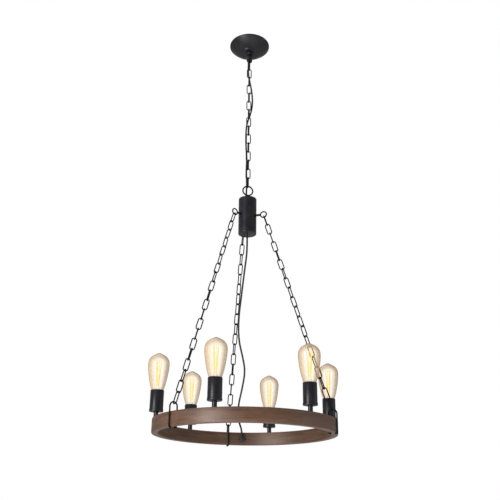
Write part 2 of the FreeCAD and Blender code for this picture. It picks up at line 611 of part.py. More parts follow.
for i in range(int(size["lamp_count"])):
    angle = 360 / size["lamp_count"] * i
    foot = direction(angle) * size["lamp_circle"] - UP * size["ring_top"]
    spin = FreeCAD.Rotation(UP, angle)
    for label, solid in (("lamp_stem", stem_solid), ("lamp_cup", cup_solid), ("lampholder", holder_solid),
                         ("bulb_cap", cap_solid), ("bulb_glass", glass_solid)):
        named(f"{label}_{i + 1}", fixed_shape(f"{label}_body_{i + 1}", placed(solid, foot, spin)))

# Cords
named("cord_upper", fixed_shape("cord_upper_tube", cord_tube("cord_upper", CORD_UPPER)))
named("cord_lower", fixed_shape("cord_lower_tube", cord_tube("cord_lower", CORD_LOWER)))

doc.recompute()
for obj in doc.Objects:
    if "Invalid" in obj.State or "Error" in obj.State:
        raise RuntimeError(f"{obj.Name} failed: {obj.State}")
for label, obj in nodes.items():
    if obj.Shape.isNull() or not obj.Shape.isValid() or not obj.Shape.Solids:
        raise RuntimeError(f"{label} has no valid solid")

os.makedirs("parts", exist_ok=True)
for label, obj in nodes.items():
    obj.Shape.exportStep(f"parts/{label}.step")
print(f"{len(nodes)} nodes; ring from {-size['ring_top']:.1f} to {-size['ring_bottom']:.1f}, lean {lean:.2f} degrees")
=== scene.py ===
# %% [markdown]
# # Wagon wheel chandelier
#
# A plain wooden ring carries six bare filament bulbs. Three side chains lift the ring to a hub, and one longer chain
# lifts the hub to a round canopy on the ceiling. A black cord winds down beside the chains.
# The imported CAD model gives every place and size. This lesson dresses it: each rough part gets a smooth twin that
# rides on the same body, and each twin gets a finish made of nodes.

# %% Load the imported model
import math
import json

import bpy
from mathutils import Matrix, Vector

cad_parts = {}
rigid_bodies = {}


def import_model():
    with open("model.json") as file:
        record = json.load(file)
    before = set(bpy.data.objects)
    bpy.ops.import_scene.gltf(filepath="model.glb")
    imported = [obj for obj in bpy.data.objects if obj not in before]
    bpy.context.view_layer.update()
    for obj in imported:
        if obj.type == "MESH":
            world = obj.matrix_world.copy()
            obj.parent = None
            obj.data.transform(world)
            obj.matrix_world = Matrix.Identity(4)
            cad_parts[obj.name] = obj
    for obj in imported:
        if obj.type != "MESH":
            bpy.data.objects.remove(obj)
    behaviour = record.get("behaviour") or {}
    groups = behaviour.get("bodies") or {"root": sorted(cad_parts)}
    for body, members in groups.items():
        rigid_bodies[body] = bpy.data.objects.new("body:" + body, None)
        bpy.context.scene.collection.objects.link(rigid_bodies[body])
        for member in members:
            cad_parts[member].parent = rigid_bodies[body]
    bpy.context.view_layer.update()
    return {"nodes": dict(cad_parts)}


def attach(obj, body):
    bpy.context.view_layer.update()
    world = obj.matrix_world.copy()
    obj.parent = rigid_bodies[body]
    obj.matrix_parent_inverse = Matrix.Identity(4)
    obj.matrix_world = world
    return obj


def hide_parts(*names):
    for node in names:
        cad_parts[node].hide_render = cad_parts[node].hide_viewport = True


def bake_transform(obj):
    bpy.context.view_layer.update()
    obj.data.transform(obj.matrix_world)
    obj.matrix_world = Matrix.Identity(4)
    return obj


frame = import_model()
MM = 0.001
UP = Vector((0, 0, 1))

# %% [markdown]
# ## Camera
#
# The photograph was taken from below the ring, looking up by about 22 degrees, so the near edge of the ring shows
# its underside. A camera could be aimed with a Track To constraint. Here it is turned by three measured angles,
# because a constraint would keep the horizon level and the photograph is tilted by half a degree.

# %% Camera
camera_place = Vector((-0.4417, -2.0464, -1.6649))
camera_pitch, camera_yaw, camera_roll, camera_swing = 0.3845, 0.0047, 0.0108, 0.2125
camera_data = bpy.data.cameras.new("camera")
camera_data.lens, camera_data.sensor_width = 49.57, 36
camera = bpy.data.objects.new("camera", camera_data)
bpy.context.scene.collection.objects.link(camera)
ahead = Vector((math.sin(camera_yaw) * math.cos(camera_pitch), math.cos(camera_yaw) * math.cos(camera_pitch),
                math.sin(camera_pitch)))
level_right = Vector((math.cos(camera_yaw), -math.sin(camera_yaw), 0))
upright = level_right.cross(ahead)
right = level_right * math.cos(camera_roll) + upright * math.sin(camera_roll)
above = upright * math.cos(camera_roll) - level_right * math.sin(camera_roll)
swing = Matrix.Rotation(-camera_swing, 3, "Z")
camera_turn = Matrix([swing @ right, swing @ above, swing @ -ahead]).transposed()
camera.matrix_world = Matrix.Translation(camera_place) @ camera_turn.to_4x4()
bpy.context.scene.camera = camera
print("camera looks up by", round(math.degrees(camera_pitch), 1), "degrees")

# %% [markdown]
# ## Cords
#
# The lamp cord leaves the loop under the canopy, winds loosely round the chain and enters the hub. A second run
# leaves the hub's foot and hangs in soft bends to a gland inside the ring. A cord bends smoothly, so each is a
# NURBS line with a few control points. Skinning a row of straight rods would look like bent wire. The bevel gives the
# line its thickness, and the line is then converted to a mesh.

# %% Cord routes, in millimetres
UPPER_ROUTE = [
    (-4.2, -4.2, -53), (-4.5, -4.6, -88), (-6.0, -9.0, -128), (-0.5, -14.5, -170), (8.5, -12.0, -212),
    (13.6, -1.0, -254), (8.5, 12.0, -290), (-3.5, 14.5, -326), (-7.5, 9.5, -372), (-6.0, 11.5, -425),
    (-1.5, 14.2, -470), (-4.0, 12.0, -520), (-0.5, 14.5, -570), (-2.0, 16.0, -610), (-2.0, 16.0, -652),
]
LOWER_ROUTE = [
    (0, 0, -745), (0, 0.5, -780), (3.5, 17, -822), (1.5, 44, -877), (-0.5, 73, -945), (-3, 108, -1025),
    (4, 132, -1088), (22, 150, -1138), (35, 166, -1183), (30, 191, -1238), (22, 215, -1292),
    (30, 236, -1338), (43.1, 244.7, -1362), (43.1, 244.7, -1385.5),
]
CORD_THICK = 6 * MM


def deselect():
    """Nothing stays selected, so the next operator acts on its own piece alone."""
    bpy.ops.object.select_all(action="DESELECT")


def make_active(piece):
    """One piece, selected and active."""
    deselect()
    piece.select_set(True)
    bpy.context.view_layer.objects.active = piece


# %% Draw the cords
def cord_along(name, route):
    """A round cord on a smooth line through space, and the points of its centreline."""
    line = bpy.data.curves.new(name, "CURVE")
    line.dimensions = "3D"
    line.resolution_u = 10
    spline = line.splines.new("NURBS")
    spline.points.add(len(route) - 1)
    for point, place in zip(spline.points, route):
        point.co = (place[0] * MM, place[1] * MM, place[2] * MM, 1)
    spline.order_u = 3
    spline.use_endpoint_u = True
    cord = bpy.data.objects.new(name, line)
    bpy.context.scene.collection.objects.link(cord)
    bpy.context.view_layer.update()
    centreline = [v.co.copy() for v in bpy.data.meshes.new_from_object(cord).vertices]
    line.bevel_depth = CORD_THICK / 2
    line.bevel_resolution = 3
    line.use_fill_caps = True
    make_active(cord)
    bpy.ops.object.convert(target="MESH")
    bpy.ops.object.shade_smooth_by_angle(angle=math.radians(50))
    print(name, "follows", len(centreline), "points")
    return cord, centreline


cord_upper, upper_line = cord_along("lamp_cord_upper", UPPER_ROUTE)
cord_lower, lower_line = cord_along("lamp_cord_lower", LOWER_ROUTE)

# %% [markdown]
# The upper run crosses two joints: the chain swings under the canopy, and the hub swings under the chain. A piece can
# bend across only one, so the run is one drawn line whose tube is bisected halfway, where it follows the chain alone.
# The halves meet face to face.

# %% Halve the upper cord
def half_cord(cord, line, cut, name, keep_start):
    """The tube up to a point of its centreline, or from there on."""
    make_active(cord)
    bpy.ops.object.duplicate()
    half = bpy.context.object
    half.name = half.data.name = name
    bpy.ops.object.mode_set(mode="EDIT")
    bpy.ops.mesh.select_all(action="SELECT")
    bpy.ops.mesh.bisect(plane_co=line[cut], plane_no=(line[cut + 1] - line[cut - 1]).normalized(), use_fill=True,
                        clear_outer=keep_start, clear_inner=not keep_start)
    bpy.ops.object.mode_set(mode="OBJECT")
    return half


def length_of(line):
    """How long a row of points is."""
    return sum((b - a).length for a, b in zip(line, line[1:]))


middle = len(upper_line) // 2
cord_head = half_cord(cord_upper, upper_line, middle, "lamp_cord_head", True)
cord_tail = half_cord(cord_upper, upper_line, middle, "lamp_cord_tail", False)
bpy.data.objects.remove(cord_upper)

# %% Hide the CAD cords and bake the drawn ones in place
CORDS = [
    (cord_head, upper_line[:middle + 1], "cord_upper", "ceiling_plate", "chain", (0, 0, -0.066), (0, 0, -0.130)),
    (cord_tail, upper_line[middle:], "cord_upper", "chain", "hub", (0, 0.0155, -0.560), (0, 0.0155, -0.632)),
    (cord_lower, lower_line, "cord_lower", "hub", "wheel", (0.003, 0.010, -0.800), (0.036, 0.240, -1.350)),
]
for cord, line, node, first_body, second_body, start, end in CORDS:
    round(length_of(line), 3)
    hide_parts(node)
    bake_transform(cord)

# %% [markdown]
# ## Light
#
# A studio with white walls lights the lamp softly. A tall narrow strip on the left gives the black metal its upright
# streaks of light and the ring its pale patch. Weaker panels on the right, above and below fill the shadows. The world
# shows as plain white to the camera and through glass, faintly in reflections, and it lights surfaces only weakly, so
# colours stay as they are written. An HDR picture would do the same job, but this lesson reads no files.

# %% Area lamps
def area_lamp(name, place, aim, width, height, power):
    """A soft panel of light at a place, turned towards a point."""
    data = bpy.data.lights.new(name, "AREA")
    data.shape, data.size, data.size_y, data.energy = "RECTANGLE", width, height, power
    lamp = bpy.data.objects.new(name, data)
    bpy.context.scene.collection.objects.link(lamp)
    lamp.location = place
    lamp.rotation_euler = (Vector(aim) - Vector(place)).to_track_quat("-Z", "Y").to_euler()
    return lamp


ring_middle = (0, 0, -1.2)
area_lamp("left_strip", (-2.1, -1.65, -1.3), ring_middle, 0.6, 2.3, 82)
area_lamp("right_panel", (2.6, -1.0, -0.9), ring_middle, 0.9, 2.2, 6)
area_lamp("top_panel", (-0.4, 0.6, 1.1), ring_middle, 2.2, 2.2, 18)
area_lamp("low_panel", (0.3, -1.0, -2.35), ring_middle, 1.6, 1.6, 6)


# %% [markdown]
# ## A short way to write materials
#
# A material is a net of nodes. Wiring them by hand in code takes many lines, so one small class wraps a socket and
# lets Python's own signs add the Math nodes: noise * 0.2 + 0.4 makes two of them. Any other node comes from one
# method that takes the node's type, its settings, and the values or links for its sockets.

# %% Socket maths
class Wire:
    """An output socket that can be added to, multiplied and so on."""

    def __init__(self, finish, socket):
        self.finish, self.socket = finish, socket

    def maths(self, operation, *values):
        """A Math node on this and other values."""
        return self.finish.node("ShaderNodeMath", {"operation": operation}, dict(enumerate(values))).out(0)

    def __add__(self, other):
        return self.maths("ADD", self, other)

    def __mul__(self, other):
        return self.maths("MULTIPLY", self, other)

    def __pow__(self, other):
        return self.maths("POWER", self, other)

    __radd__, __rmul__ = __add__, __mul__


# %% Nodes by one method
class Node:
    """A node whose outputs come as wires."""

    def __init__(self, finish, node):
        self.finish, self.node = finish, node

    def out(self, which):
        """The wire from one output, by number or name."""
        return Wire(self.finish, self.node.outputs[which])


class Finish:
    """A node tree under construction: a material's, or the world's."""

    def __init__(self, owner):
        owner.use_nodes = True
        self.owner, self.tree = owner, owner.node_tree
        self.tree.nodes.clear()

    def node(self, kind, settings=None, inputs=None):
        """Any node, from its type, its settings and the values or wires of its sockets."""
        made = self.tree.nodes.new(kind)
        for setting, value in (settings or {}).items():
            setattr(made, setting, value)
        for name, value in (inputs or {}).items():
            if isinstance(value, Wire):
                self.tree.links.new(value.socket, made.inputs[name])
            else:
                made.inputs[name].default_value = value
        return Node(self, made)

    def noise(self, vector, scale, detail=4, roughness=0.55):
        """Soft grey noise, about 0.5 on average."""
        return self.node("ShaderNodeTexNoise", {}, {"Vector": vector, "Scale": scale, "Detail": detail,
                                                    "Roughness": roughness}).out(0)

    def blend(self, share, first, second):
        """A colour between two colours."""
        return self.node("ShaderNodeMix", {"data_type": "RGBA"}, {0: share, 6: first, 7: second}).out(2)

    def span(self, value, low, high, out_low=0.0, out_high=1.0):
        """A value moved from one range to another, and held at its ends."""
        return self.node("ShaderNodeMapRange", {}, {0: value, 1: low, 2: high, 3: out_low, 4: out_high}).out(0)

    def bump(self, height, strength, depth):
        """A normal tilted by a height, with its depth in metres."""
        return self.node("ShaderNodeBump", {}, {"Height": height, "Strength": strength, "Distance": depth}).out(0)

    def place(self):
        """Where a point is, in metres, so that a pattern keeps its real scale."""
        return self.node("ShaderNodeTexCoord").out("Object")

    def surface(self, inputs):
        """End the net in a Principled shader."""
        shader = self.node("ShaderNodeBsdfPrincipled", {}, inputs)
        self.node("ShaderNodeOutputMaterial", {}, {"Surface": shader.out(0)})
        return self.owner


def colour(red, green, blue):
    """A colour as it is read from a screen, 0 to 255, turned into light."""
    def light(value):
        value /= 255
        return value / 12.92 if value <= 0.04045 else ((value + 0.055) / 1.055) ** 2.4
    return (light(red), light(green), light(blue), 1)


# %% World: white to the eye, soft on the object
world = bpy.data.worlds.new("white_studio")
bpy.context.scene.world = world
sky = Finish(world)
seen = sky.node("ShaderNodeLightPath")
shows_white = seen.out("Is Camera Ray").maths("MAXIMUM", seen.out("Is Camera Ray"), seen.out("Is Transmission Ray"))
GLOSSY_WHITE, STUDIO_FILL = 0.12, 0.30
shows_white = shows_white.maths("MAXIMUM", shows_white, seen.out("Is Glossy Ray") * GLOSSY_WHITE)
background = sky.node("ShaderNodeBackground", {}, {"Color": (1, 1, 1, 1),
                                                   "Strength": shows_white * (1 - STUDIO_FILL) + STUDIO_FILL})
sky.node("ShaderNodeOutputWorld", {}, {"Surface": background.out(0)})
bpy.context.scene.view_settings.view_transform = "Standard"

# %% [markdown]
# ## Floor
#
# The lamp hangs free, so the floor is far below and out of the photograph. It matters only in the other views, where
# it catches a soft shadow. It is a plain pale plane with a little grain.

# %% Floor
FLOOR_LEVEL = -2.45
deselect()
bpy.ops.mesh.primitive_plane_add(size=14, location=(0, 0, FLOOR_LEVEL))
floor = bpy.context.object
floor.name = "floor"
paint = Finish(bpy.data.materials.new("pale_floor"))
grain = paint.noise(paint.place(), 30.0)
floor.data.materials.append(paint.surface({
    "Base Color": paint.blend(grain, colour(236, 235, 232), colour(246, 245, 243)), "Roughness": 0.8,
    "Emission Color": (1, 1, 1, 1), "Emission Strength": 0.25}))

# %% [markdown]
# ## Black metal
#
# The canopy, hub, chains and lamp cups are steel with a satin black powder coat. Baked powder is never quite flat: it
# has a fine orange-peel texture that spreads the highlights, and it rubs a little greyer where hands touch it. A
# Glossy and a Diffuse node could be mixed, but the Principled shader keeps the balance right at every angle.

# %% Satin black powder coat
def powder_coat(name, peel, dark, rubbed, roughness, gloss):
    """Satin black: fine peel in the bump, faint clouds in colour and gloss."""
    coat = Finish(bpy.data.materials.new(name))
    place = coat.place()
    clouds = coat.noise(place, 38.0, detail=3)
    skin = coat.noise(place, peel, detail=2)
    return coat.surface({
        "Base Color": coat.blend(coat.span(clouds, 0.42, 0.72), dark, rubbed),
        "Roughness": coat.span(clouds + skin * 0.3, 0.4, 0.9, roughness - 0.05, roughness + 0.08),
        "Specular IOR Level": gloss,
        "Normal": coat.bump(skin, 0.22, 0.0003)})


satin_black = powder_coat("satin_black", 900.0, colour(15, 15, 21), colour(27, 27, 35), 0.36, 0.34)
chain_black = powder_coat("chain_black", 1400.0, colour(5, 5, 6), colour(13, 12, 13), 0.55, 0.14)

# %% [markdown]
# ## Wood
#
# The ring looks like weathered oak: a brown ground, greyer where the top of the grain is worn, with long thin dark
# pores that run round the ring. Stretched noise draws such fibres. A flat noise would leave a seam where the ring
# closes, so the pattern is read in three dimensions: slow along x and y, and quick in height plus radius, which makes
# stripes on the upright faces and on the underside alike.

# %% Weathered ring wood
wood = Finish(bpy.data.materials.new("ring_wood"))
spot = wood.node("ShaderNodeSeparateXYZ", {}, {0: wood.place()})
x_place, y_place, z_place = spot.out(0), spot.out(1), spot.out(2)
radius_here = (x_place * x_place + y_place * y_place) ** 0.5
across_grain = z_place + radius_here


def fibres(along, across, detail):
    """Noise stretched round the ring."""
    vector = wood.node("ShaderNodeCombineXYZ", {}, {0: x_place * along, 1: y_place * along,
                                                    2: across_grain * across}).out(0)
    return wood.noise(vector, 1.0, detail=detail, roughness=0.62)


broad = fibres(5.0, 60.0, 4)
streaks = fibres(9.0, 330.0, 5)
pores = fibres(26.0, 1500.0, 3)
weather = wood.noise(wood.place(), 6.0, detail=3)
ground = wood.blend(wood.span(streaks, 0.34, 0.66), colour(50, 31, 17), colour(92, 60, 36))
ground = wood.blend(wood.span(broad + weather, 0.90, 1.25, 0.0, 0.6), ground, colour(104, 86, 74))
ground = wood.blend(wood.span(weather, 0.48, 0.70, 0.0, 0.6), ground, colour(94, 57, 30))
ground = wood.blend(wood.span(pores, 0.32, 0.46, 0.85, 0.0), ground, colour(28, 19, 14))
ring_wood = wood.surface({
    "Base Color": ground, "Roughness": wood.span(streaks, 0.3, 0.7, 0.56, 0.40), "Specular IOR Level": 0.48,
    "Normal": wood.bump(streaks * 0.6 + pores * 0.5, 0.5, 0.0005)})

# %% [markdown]
# ## Bulb glass and filament
#
# The bulbs are clear amber glass. Looking through the middle, the eye crosses little glass and sees almost white.
# At the rim it looks along the wall, and the amber is deep. The Layer Weight node knows that angle, so it drives both
# how solid the glass is and how dark its colour is. True refraction would also work, but it needs far more samples.

# %% Amber glass
glass = Finish(bpy.data.materials.new("bulb_glass"))
edge_on = glass.node("ShaderNodeLayerWeight", {}, {"Blend": 0.5}).out("Facing")
ripple = glass.noise(glass.place(), 40.0, detail=2)
amber = glass.blend(glass.span(edge_on, 0.0, 0.3), colour(248, 220, 130), colour(203, 175, 126))
amber = glass.blend(glass.span(edge_on, 0.3, 0.9), amber, colour(168, 140, 112))
bulb_glass = glass.surface({
    "Base Color": amber, "Roughness": 0.06,
    "Alpha": glass.span(edge_on + ripple * 0.05, 0.08, 0.36, 0.04, 0.54) + glass.span(edge_on, 0.45, 0.8, 0.0, 0.28)})

# %% Glowing filament, and the pale glass inside
glow = Finish(bpy.data.materials.new("filament"))
heat = glow.noise(glow.place(), 220.0, detail=2)
filament_glow = glow.surface({
    "Base Color": colour(206, 130, 52), "Roughness": 0.5,
    "Emission Color": glow.blend(glow.span(heat, 0.35, 0.65), colour(248, 190, 76), colour(255, 224, 122)),
    "Emission Strength": 0.9})
flare = Finish(bpy.data.materials.new("inner_glass"))
flare_edge = flare.node("ShaderNodeLayerWeight", {}, {"Blend": 0.45}).out("Facing")
inner_glass = flare.surface({
    "Base Color": flare.blend(flare_edge, colour(255, 250, 232), colour(226, 196, 132)), "Roughness": 0.1,
    "Alpha": flare.span(flare_edge, 0.0, 1.0, 0.2, 0.7)})

# %% [markdown]
# ## Small metals, plastic and cord
#
# The screw caps are nickel-plated brass, dulled by handling. The hidden hardware is zinc-plated steel with faint
# crystal clouds. The lampholders are moulded black plastic, and the cord has a soft black sheath. Each gets its own
# roughness and a little unevenness at the scale that the real surface has.

# %% Metals, plastic and sheath
def worn_metal(name, clean, dull, scale, roughness):
    """Bare plated metal with clouds of dullness."""
    metal = Finish(bpy.data.materials.new(name))
    clouds = metal.noise(metal.place(), scale, detail=5)
    return metal.surface({
        "Base Color": metal.blend(metal.span(clouds, 0.35, 0.7), clean, dull), "Metallic": 1.0,
        "Roughness": metal.span(clouds, 0.3, 0.7, roughness, roughness + 0.2),
        "Normal": metal.bump(clouds, 0.1, 0.0002)})


cap_metal = worn_metal("cap_metal", colour(205, 196, 172), colour(158, 146, 118), 160.0, 0.24)
zinc_steel = worn_metal("zinc_steel", colour(186, 190, 194), colour(140, 145, 152), 90.0, 0.34)


def matt_black(name, scale, dark, light, roughness, strength):
    """Dark plastic or rubber with a fine grain."""
    plastic = Finish(bpy.data.materials.new(name))
    grain = plastic.noise(plastic.place(), scale, detail=3)
    return plastic.surface({
        "Base Color": plastic.blend(grain, dark, light), "Roughness": plastic.span(grain, 0.3, 0.7, roughness - 0.06,
                                                                                  roughness + 0.08),
        "Normal": plastic.bump(grain, strength, 0.0002)})


black_plastic = matt_black("black_plastic", 700.0, colour(12, 12, 14), colour(21, 21, 23), 0.54, 0.2)
black_cord = matt_black("black_cord", 1100.0, colour(6, 6, 7), colour(14, 14, 15), 0.66, 0.4)
for cord in (cord_head, cord_tail, cord_lower):
    cord.data.materials.append(black_cord)

# %% Finishes for the CAD nodes that stay as they are
HIDDEN_HARDWARE = ["ceiling_bracket", "canopy_nipple", "lock_nut", "hub_loop_nut", "eye_bolt_nuts"]
for label in HIDDEN_HARDWARE:
    node = frame["nodes"][label]
    node.data.materials.clear()
    node.data.materials.append(zinc_steel)
print("finished CAD nodes:", HIDDEN_HARDWARE)

# %% [markdown]
# ## Turned pieces
#
# The canopy, hub, cups and bulbs are round about one axis. They could be spun from a drawn outline, but then every
# ring costs a vertex at the axis. Here each starts as a circle at its first radius and level. It is extruded to the
# next level and resized to the next radius, ring by ring, the way one pulls a pot up on a wheel.

# %% Turn a piece
def end_edit(name, smooth_below=38):
    """Clean the mesh, leave edit mode and smooth all but the crisp edges."""
    bpy.ops.mesh.select_all(action="SELECT")
    bpy.ops.mesh.remove_doubles(threshold=0.000002)
    bpy.ops.mesh.normals_make_consistent(inside=False)
    bpy.ops.object.mode_set(mode="OBJECT")
    piece = bpy.context.object
    piece.name = piece.data.name = name
    bpy.ops.object.transform_apply(location=True, rotation=True, scale=True)
    bpy.ops.object.shade_smooth_by_angle(angle=math.radians(smooth_below))
    return piece


def turn_piece(name, profile, sides):
    """A piece turned about the Z axis from (radius, level) pairs in millimetres.

    A profile that ends where it began is a tube. Any other is filled at its two ends.
    """
    tube = profile[0] == profile[-1]
    radius, level = profile[0]
    deselect()
    bpy.ops.mesh.primitive_circle_add(vertices=sides, radius=radius * MM, fill_type="NOTHING" if tube else "NGON",
                                      location=(0, 0, level * MM))
    bpy.ops.object.mode_set(mode="EDIT")
    bpy.ops.mesh.select_all(action="SELECT")
    for next_radius, next_level in profile[1:]:
        bpy.ops.mesh.extrude_region_move(TRANSFORM_OT_translate={"value": (0, 0, (next_level - level) * MM)})
        share = next_radius / radius
        bpy.ops.transform.resize(value=(share, share, 1), center_override=(0, 0, next_level * MM))
        radius, level = next_radius, next_level
    return end_edit(name)


# %% Dress a piece and give it to its body
def dress(piece, material, body, node):
    """Material, body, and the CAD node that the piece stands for."""
    piece.data.materials.clear()
    piece.data.materials.append(material)
    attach(piece, body)
    if node:
        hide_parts(node)
    return piece


def copy_piece(master, name, place):
    """A copy with a mesh of its own, moved by a matrix that is then applied."""
    make_active(master)
    bpy.ops.object.duplicate()
    copy = bpy.context.object
    copy.name = copy.data.name = name
    copy.matrix_world = place
    bpy.ops.object.transform_apply(location=True, rotation=True, scale=True)
    return copy


def remove_piece(piece):
    """A master that has been copied is no longer needed."""
    bpy.data.objects.remove(piece)


# %% [markdown]
# ## Canopy
#
# The canopy is a shallow spun steel dome, 145 mm across, with a short upright rim and a small raised step in the
# middle. Under it sit a round nut, a plain collar and a loop for the chain. The dome is turned with its inside wall,
# so it looks right from above as well. A power of the distance from the middle gives its curve, which falls slowly
# at first and then faster. A subdivided block could be rounded too, but its rim would not keep an exact radius.

# %% Canopy bowl
RIM, FACE, STEP_FACE, WALL, THREAD_HOLE = 72.5, -30.0, -33.5, 1.5, 5.4
FLAT, RIM_LOW, CURVE = 32.0, -4.0, 1.6      # where the dome leaves its flat middle, and how it falls to the rim


def dome(inset, steps):
    """The curve between the flat middle and the rim, from parts of the way out."""
    return [(FLAT + (RIM - FLAT - inset) * part, RIM_LOW + (FACE + inset - RIM_LOW) * (1 - part ** CURVE))
            for part in steps]


canopy = turn_piece("canopy_bowl", [
    (THREAD_HOLE, STEP_FACE), (28.4, STEP_FACE), (29.7, STEP_FACE + 0.5), (30.6, FACE - 1.4), (31.3, FACE - 0.2),
    *dome(0, (0, 0.12, 0.24, 0.36, 0.48, 0.6, 0.7, 0.8, 0.9, 0.97)), (RIM - 0.3, RIM_LOW - 0.2),
    (RIM, RIM_LOW + 0.9), (RIM, -0.6), (RIM - 0.4, 0), (RIM - WALL, 0),
    *dome(WALL, (1, 0.9, 0.8, 0.65, 0.5, 0.35, 0.2, 0)), (28.4, STEP_FACE + WALL),
    (THREAD_HOLE, STEP_FACE + WALL), (THREAD_HOLE, STEP_FACE)], 96)
dress(canopy, satin_black, "ceiling_plate", "canopy")

# %% Round nut and collar
NUT_LOW, COLLAR_LOW, BASE_LOW = -41.5, -59.5, -65.5
cover_nut = turn_piece("cover_nut_turned", [
    (THREAD_HOLE, NUT_LOW), (13.2, NUT_LOW), (14.4, NUT_LOW + 0.5), (15, NUT_LOW + 1.5), (15, STEP_FACE - 0.8),
    (14.6, STEP_FACE), (THREAD_HOLE, STEP_FACE), (THREAD_HOLE, NUT_LOW)], 48)
dress(cover_nut, satin_black, "ceiling_plate", "cover_nut")
collar = turn_piece("collar_turned", [
    (9.4, COLLAR_LOW), (10.3, COLLAR_LOW), (10.5, COLLAR_LOW + 0.3), (10.5, NUT_LOW - 0.3), (10.3, NUT_LOW),
    (THREAD_HOLE, NUT_LOW), (THREAD_HOLE, NUT_LOW - 4), (9.4, NUT_LOW - 4), (9.4, COLLAR_LOW)], 48)
dress(collar, satin_black, "ceiling_plate", "canopy_collar")


# %% [markdown]
# ## Bent wire
#
# Loops, stirrups and hooks are steel rod bent on a jig. The model does the same: a small round section is pushed
# straight ahead by extrude, and swung round a corner by spin. Two such solids that meet are welded by a Boolean
# union, so no hidden face is left inside the joint.

# %% Bend a wire
def start_wire(place, ahead, thickness, sides=12):
    """A round section, square to the way that the wire leaves."""
    deselect()
    bpy.ops.mesh.primitive_circle_add(vertices=sides, radius=thickness / 2 * MM, fill_type="NGON",
                                      location=Vector(place) * MM,
                                      rotation=UP.rotation_difference(Vector(ahead)).to_euler())
    bpy.ops.object.mode_set(mode="EDIT")
    bpy.ops.mesh.select_all(action="SELECT")


def run_wire(step):
    """Push the section straight ahead."""
    bpy.ops.mesh.extrude_region_move(TRANSFORM_OT_translate={"value": Vector(step) * MM})


def bend_wire(centre, axis, degrees, steps):
    """Swing the section round a centre. The operator counts its angle the other way round."""
    bpy.ops.mesh.spin(steps=steps, angle=-math.radians(degrees), center=Vector(centre) * MM, axis=axis)


def join_solids(piece, tool, operation="UNION"):
    """Weld a second solid to a piece, or cut it away, and drop the second."""
    make_active(piece)
    modifier = piece.modifiers.new("joint", "BOOLEAN")
    modifier.operation, modifier.object, modifier.solver = operation, tool, "EXACT"
    bpy.ops.object.modifier_apply(modifier=modifier.name)
    remove_piece(tool)
    bpy.ops.object.shade_smooth_by_angle(angle=math.radians(38))
    return piece


def drill_hole(piece, radius, low, high, sides, place):
    """Cut a round hole with a drill that is turned upright and then moved to its place."""
    drill = turn_piece("drill", [(radius, low), (radius, high)], sides)
    join_solids(piece, copy_piece(drill, "drill_placed", place), "DIFFERENCE")
    remove_piece(drill)


# %% Loop under the collar, with the cord's hole
LOOP_RADIUS, LOOP_WIRE, LOOP_LEVEL = 8.25, 4.5, -65.05
start_wire((LOOP_RADIUS, 0, LOOP_LEVEL + 3), (0, 0, -1), LOOP_WIRE)
run_wire((0, 0, -3))
bend_wire((0, 0, LOOP_LEVEL), (0, 1, 0), 180, 14)
run_wire((0, 0, 3))
loop_rod = end_edit("loop_rod")
print("loop reaches down to", round(min(v.co.z for v in loop_rod.data.vertices) / MM, 2), "mm")
loop_base = turn_piece("canopy_loop_bent", [(9.4, BASE_LOW), (10.2, BASE_LOW + 0.4), (10.5, BASE_LOW + 1.2),
                                            (10.5, COLLAR_LOW)], 48)
join_solids(loop_base, loop_rod)
CORD_HOLE, HOLE_SIDES = 3.4, 24


def over_cord(point):
    """The matrix that moves an upright drill sideways to a point of the cord's route."""
    return Matrix.Translation((point[0] * MM, point[1] * MM, 0))


drill_hole(loop_base, CORD_HOLE, BASE_LOW - 4.5, BASE_LOW + 10.5, HOLE_SIDES, over_cord(UPPER_ROUTE[0]))
dress(loop_base, satin_black, "ceiling_plate", "canopy_loop")

# %% [markdown]
# ## Chains
#
# A welded link is a round wire ring pulled long. A torus gives the wire. Its upper half is moved up and its lower
# half down, and the gap between becomes the two straight sides. One link is made for the hanging chain and one,
# slightly shorter, for the three side chains. Each is copied down its line, turned by a quarter against the one above.
# In a side chain the turn is a little more, so that its first link fits the eye and its last link fits the stirrup.

# %% One chain link
LINK_WIRE, LINK_WIDTH = 3.6, 18.0


def edit_where(piece, test):
    """Enter edit mode with only the vertices that pass a test selected."""
    for parts in (piece.data.polygons, piece.data.edges):
        for part in parts:
            part.select = False
    for vertex in piece.data.vertices:
        vertex.select = test(vertex)
    bpy.ops.object.mode_set(mode="EDIT")


def chain_link(name, inner_length):
    """A link upright in the XZ plane, its middle at the origin."""
    steps = 24
    half_width = (LINK_WIDTH - LINK_WIRE) / 2
    bend_radius = half_width / math.cos(math.pi / steps)
    stretch = (inner_length + LINK_WIRE) / 2 - bend_radius
    deselect()
    bpy.ops.mesh.primitive_torus_add(major_segments=steps, minor_segments=10, major_radius=bend_radius * MM,
                                     minor_radius=LINK_WIRE / 2 * MM,
                                     rotation=(math.pi / 2, math.pi / steps, 0))
    bpy.ops.object.transform_apply(location=True, rotation=True, scale=True)
    for sign in (1, -1):
        edit_where(bpy.context.object, lambda vertex: vertex.co.z * sign > 0)
        bpy.ops.transform.translate(value=(0, 0, sign * stretch * MM))
        bpy.ops.object.mode_set(mode="OBJECT")
    bpy.ops.object.mode_set(mode="EDIT")
    link = end_edit(name, 60)
    print(name, "measures", [round(side / MM, 1) for side in link.dimensions])
    return link


MAIN_INNER, SIDE_INNER, LINK_PLAY = 34.7, 34.0, 0.3
main_link = chain_link("main_link", MAIN_INNER)
side_link = chain_link("side_link", SIDE_INNER)


# %% Hanging chain
def chain_of(name, link, places):
    """Copies of a link at their places, joined into one chain."""
    copies = [copy_piece(link, f"{name}_{i}", place) for i, place in enumerate(places)]
    deselect()
    for copy in copies:
        copy.select_set(True)
    bpy.context.view_layer.objects.active = copies[0]
    bpy.ops.object.join()
    chain = bpy.context.object
    chain.name = chain.data.name = name
    return chain


